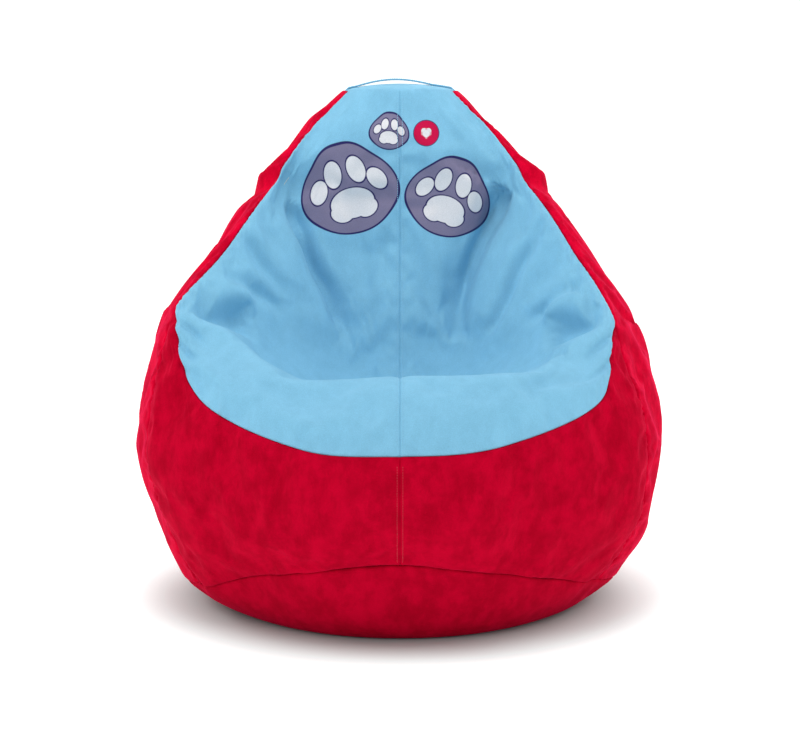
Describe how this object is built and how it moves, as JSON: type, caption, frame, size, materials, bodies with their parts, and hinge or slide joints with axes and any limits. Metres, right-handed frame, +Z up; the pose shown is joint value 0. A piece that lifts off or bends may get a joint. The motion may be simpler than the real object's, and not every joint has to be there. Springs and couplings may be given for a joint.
{
  "type": "bean bag chair",
  "caption": "Pear-shaped bean bag chair with a hollowed seat, raised back and head, carrying strap, zipped cover and zipped inner bag of beads.",
  "frame": {"origin": "centre of the flat patch of the base that rests on the floor", "axes": "+Z up, -Y is the open front of the seat, +X to the right as seen from the front"},
  "size_m": [0.9086, 0.8945, 0.9193],
  "materials": {
    "blue_velour": "short-pile velour, matte",
    "red_velour": "short-pile velour, mottled",
    "liner_cloth": "plain woven polyester",
    "zip_tape": "herringbone tape",
    "zip_teeth": "nylon coil",
    "liner_zip_tape": "herringbone tape",
    "liner_zip_teeth": "nylon coil",
    "slider_metal": "nickel-plated die casting",
    "beads": "expanded polystyrene beads"
  },
  "bodies": {
    "bag": {"front_left_top_panel": "blue_velour", "front_right_top_panel": "blue_velour", "front_left_lower_panel": "red_velour", "front_right_lower_panel": "red_velour", "left_side_panel": "red_velour", "right_side_panel": "red_velour", "back_left_panel": "red_velour", "back_right_panel": "red_velour", "base_panel": "red_velour", "top_cap": "blue_velour", "handle_tab_left": "blue_velour", "handle_tab_right": "blue_velour", "zip_tape_left": "zip_tape", "zip_tape_right": "zip_tape", "zip_teeth_left": "zip_teeth", "zip_teeth_right": "zip_teeth", "zip_top_stop": "slider_metal", "zip_bottom_stop": "slider_metal", "liner_left": "liner_cloth", "liner_right": "liner_cloth", "liner_base": "liner_cloth", "liner_zip_tape_left": "liner_zip_tape", "liner_zip_tape_right": "liner_zip_tape", "liner_zip_teeth_left": "liner_zip_teeth", "liner_zip_teeth_right": "liner_zip_teeth", "liner_zip_top_stop": "slider_metal", "liner_zip_bottom_stop": "slider_metal", "bead_fill": "beads"},
    "handle": {"handle_strap": "blue_velour"},
    "slider": {"zip_slider": "slider_metal"},
    "pull": {"zip_pull": "slider_metal"},
    "inner_slider": {"liner_zip_slider": "slider_metal"}
  },
  "joints": [
    {"name": "handle_lift", "type": "slide", "parent": "bag", "child": "handle", "axis": [0, 0, 1], "range_m": [0, 0.012]},
    {"name": "zip_slide", "type": "slide", "parent": "bag", "child": "slider", "axis": [0, -0.238, 0.9713], "range_m": [-0.379, 0]},
    {"name": "zip_pull_swing", "type": "hinge", "parent": "slider", "child": "pull", "pos_m": [0, 0.34124, 0.81948], "axis": [1, 0, 0], "range_deg": [0, 160]},
    {"name": "liner_zip_slide", "type": "slide", "parent": "bag", "child": "inner_slider", "axis": [0, -0.238, 0.9713], "range_m": [-0.263, 0]}
  ]
}
